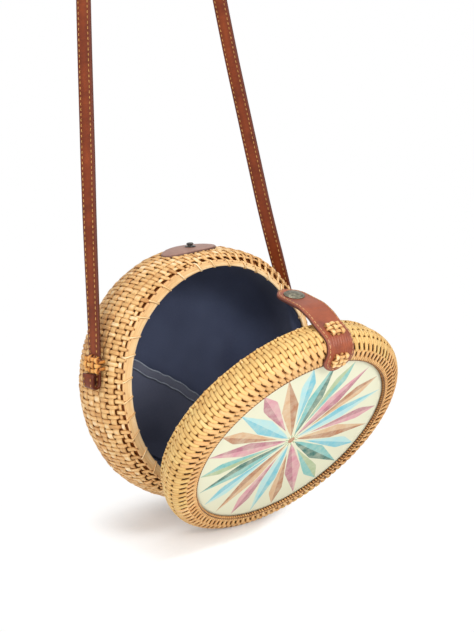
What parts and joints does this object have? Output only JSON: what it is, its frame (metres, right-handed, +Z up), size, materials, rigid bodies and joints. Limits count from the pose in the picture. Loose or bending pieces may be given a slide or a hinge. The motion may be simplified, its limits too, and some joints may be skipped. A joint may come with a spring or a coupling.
{
  "type": "round woven shoulder bag",
  "caption": "Round clamshell bag of woven cane with a shallow lid, a printed lid panel, a fabric lining, a leather snap tab and a long leather shoulder strap.",
  "frame": {"origin": "centre of the bend at the top of the shoulder strap, where a peg, hook or hand holds the bag", "axes": "+Z up along the strap, -Y to the front where the lid opens, +X to the right as seen from the front"},
  "size_m": [0.213, 0.2968, 0.7421],
  "materials": {
    "cane": "woven, satin",
    "cane_pale": "smooth peeled cane, satin",
    "leather": "smooth, edge stitched",
    "lining": "plain woven cotton",
    "board": "plain board",
    "print": "printed cloth, matt",
    "snap": "antique, dark"
  },
  "bodies": {
    "strap": {"shoulder_strap": "leather", "strap_knot_left": "cane", "strap_knot_right": "cane"},
    "rear_half": {"rear_shell": "cane", "rear_rim_hoop": "cane_pale", "rear_rim_lashing": "cane", "rear_lining": "lining", "lining_pocket": "lining", "stud_patch": "leather", "snap_stud": "snap", "stud_rivet": "snap", "hinge_rod": "cane", "rear_hinge_loop_left": "cane", "rear_hinge_loop_right": "cane"},
    "lid": {"lid_shell": "cane", "lid_rim_hoop": "cane_pale", "lid_rim_lashing": "cane", "lid_lining": "lining", "front_panel": "board", "panel_print": "print", "panel_hoop": "cane", "closure_tab": "leather", "tab_knot_upper": "cane", "tab_knot_lower": "cane", "lid_hinge_loop_left": "cane", "lid_hinge_loop_right": "cane"},
    "root": {"tab_root": "leather"},
    "flap": {"tab_flap": "leather", "snap_cap": "snap", "snap_socket": "snap"}
  },
  "joints": [
    {"name": "strap_swing", "type": "hinge", "parent": "strap", "child": "rear_half", "pos_m": [0, -0.109, -0.56], "axis": [1, 0, 0], "range_deg": [-65, 50]},
    {"name": "lid_hinge", "type": "hinge", "parent": "rear_half", "child": "lid", "pos_m": [0, -0.133, -0.6815], "axis": [1, 0, 0], "range_deg": [-35.4, 64.6]},
    {"name": "tab_flex", "type": "hinge", "parent": "lid", "child": "root", "pos_m": [-0.00707, -0.24859, -0.51626], "axis": [0.9976, -0.0404, 0.0569], "range_deg": [-71, 39]},
    {"name": "flap_lift", "type": "hinge", "parent": "root", "child": "flap", "pos_m": [-0.007, -0.23988, -0.51135], "axis": [0.9976, -0.0404, 0.0569], "range_deg": [-16.7, 73]}
  ],
  "couplings": [
    {"joint": "tab_flex", "follows": "lid_hinge", "ratio": -1.0932}
  ]
}
